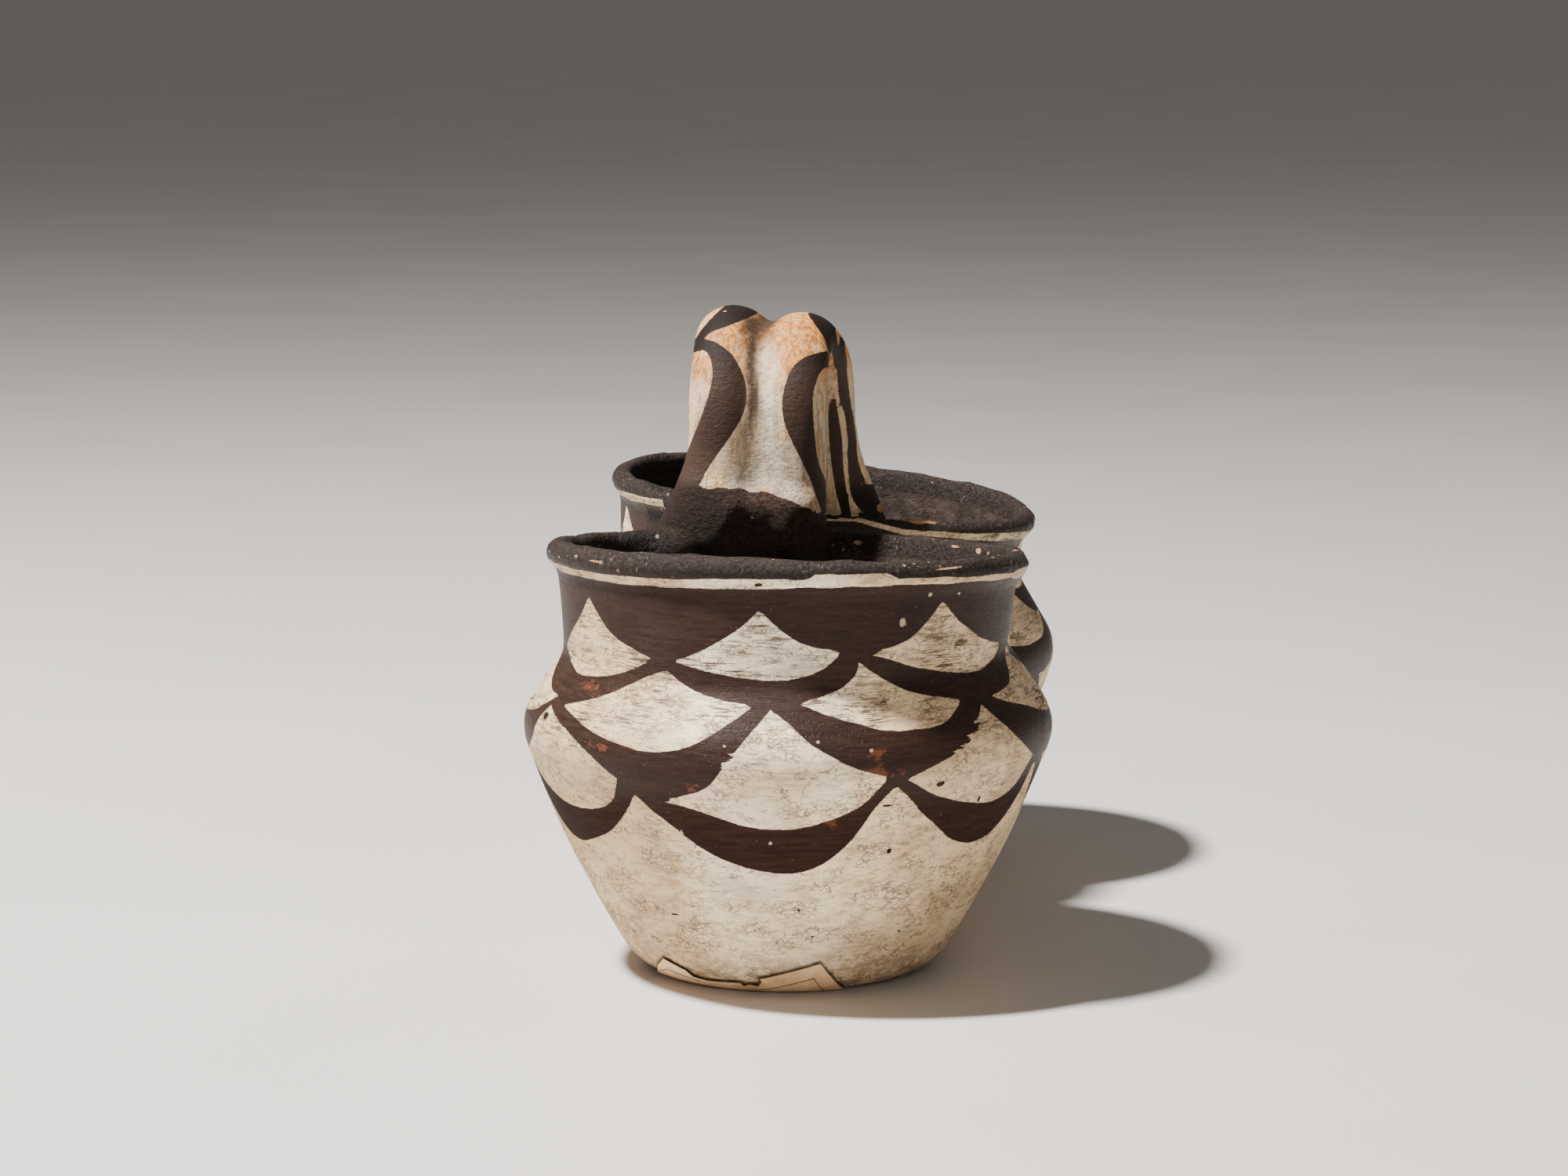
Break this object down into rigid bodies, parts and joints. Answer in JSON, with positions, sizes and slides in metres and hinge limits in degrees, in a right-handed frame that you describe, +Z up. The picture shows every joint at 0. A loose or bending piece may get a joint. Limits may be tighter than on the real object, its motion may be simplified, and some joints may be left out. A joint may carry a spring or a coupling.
{
  "type": "double bowl",
  "caption": "hand-built pottery double bowl: round jars with rolled lips, fused at the bellies, painted with fish-scale fans, under an arched handle of twin clay coils",
  "frame": {"origin": "on the floor under the middle of the vessel's bounding box", "axes": "+Z up, +Y from the front jar to the rear one, +X to the right as seen from the front"},
  "size_m": [0.1324, 0.2592, 0.1606],
  "materials": {
    "painted_clay": "satin",
    "label_paper": "matte"
  },
  "bodies": {
    "root": {"double_bowl": "painted_clay", "paper_label": "label_paper"}
  },
  "joints": []
}
